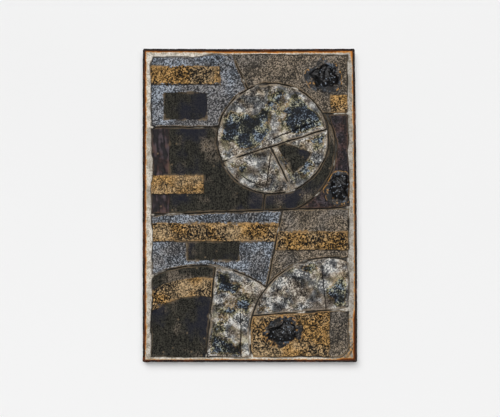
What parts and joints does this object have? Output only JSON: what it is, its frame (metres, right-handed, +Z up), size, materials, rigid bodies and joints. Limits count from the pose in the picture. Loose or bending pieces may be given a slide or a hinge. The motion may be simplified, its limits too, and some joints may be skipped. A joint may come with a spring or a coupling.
{
  "type": "concrete wall plaque",
  "caption": "Upright wall plaque: glazed concrete slabs in low relief, a sun over rolling fields, bedded in mortar in an angle-iron frame that hangs by keyholes.",
  "frame": {"origin": "centre of the flat back, on the plane that lies against the wall", "axes": "+Z up the plaque, +Y out of the back into the wall, so the picture faces -Y, +X to the viewer's right"},
  "size_m": [0.409, 0.0394, 0.6],
  "materials": {
    "iron": "rusted",
    "mortar": "matte",
    "bone_glaze": "satin",
    "ochre_glaze": "matte",
    "charcoal_glaze": "satin",
    "slate_glaze": "matte",
    "umber_glaze": "matte",
    "black_glaze": "gloss"
  },
  "bodies": {
    "root": {"iron_frame": "iron", "mortar_bed": "mortar", "slab_sky_left": "slate_glaze", "slab_sky_top": "umber_glaze", "slab_dusk": "charcoal_glaze", "slab_sun_upper": "bone_glaze", "slab_sun_lower_left": "bone_glaze", "slab_sun_lower_right": "bone_glaze", "slab_halo": "charcoal_glaze", "slab_corner": "black_glaze", "slab_meadow_left": "slate_glaze", "slab_meadow_right": "umber_glaze", "slab_hill_left": "charcoal_glaze", "slab_hill_middle": "bone_glaze", "slab_hill_right": "bone_glaze", "slab_hill_foot": "ochre_glaze"}
  },
  "joints": []
}
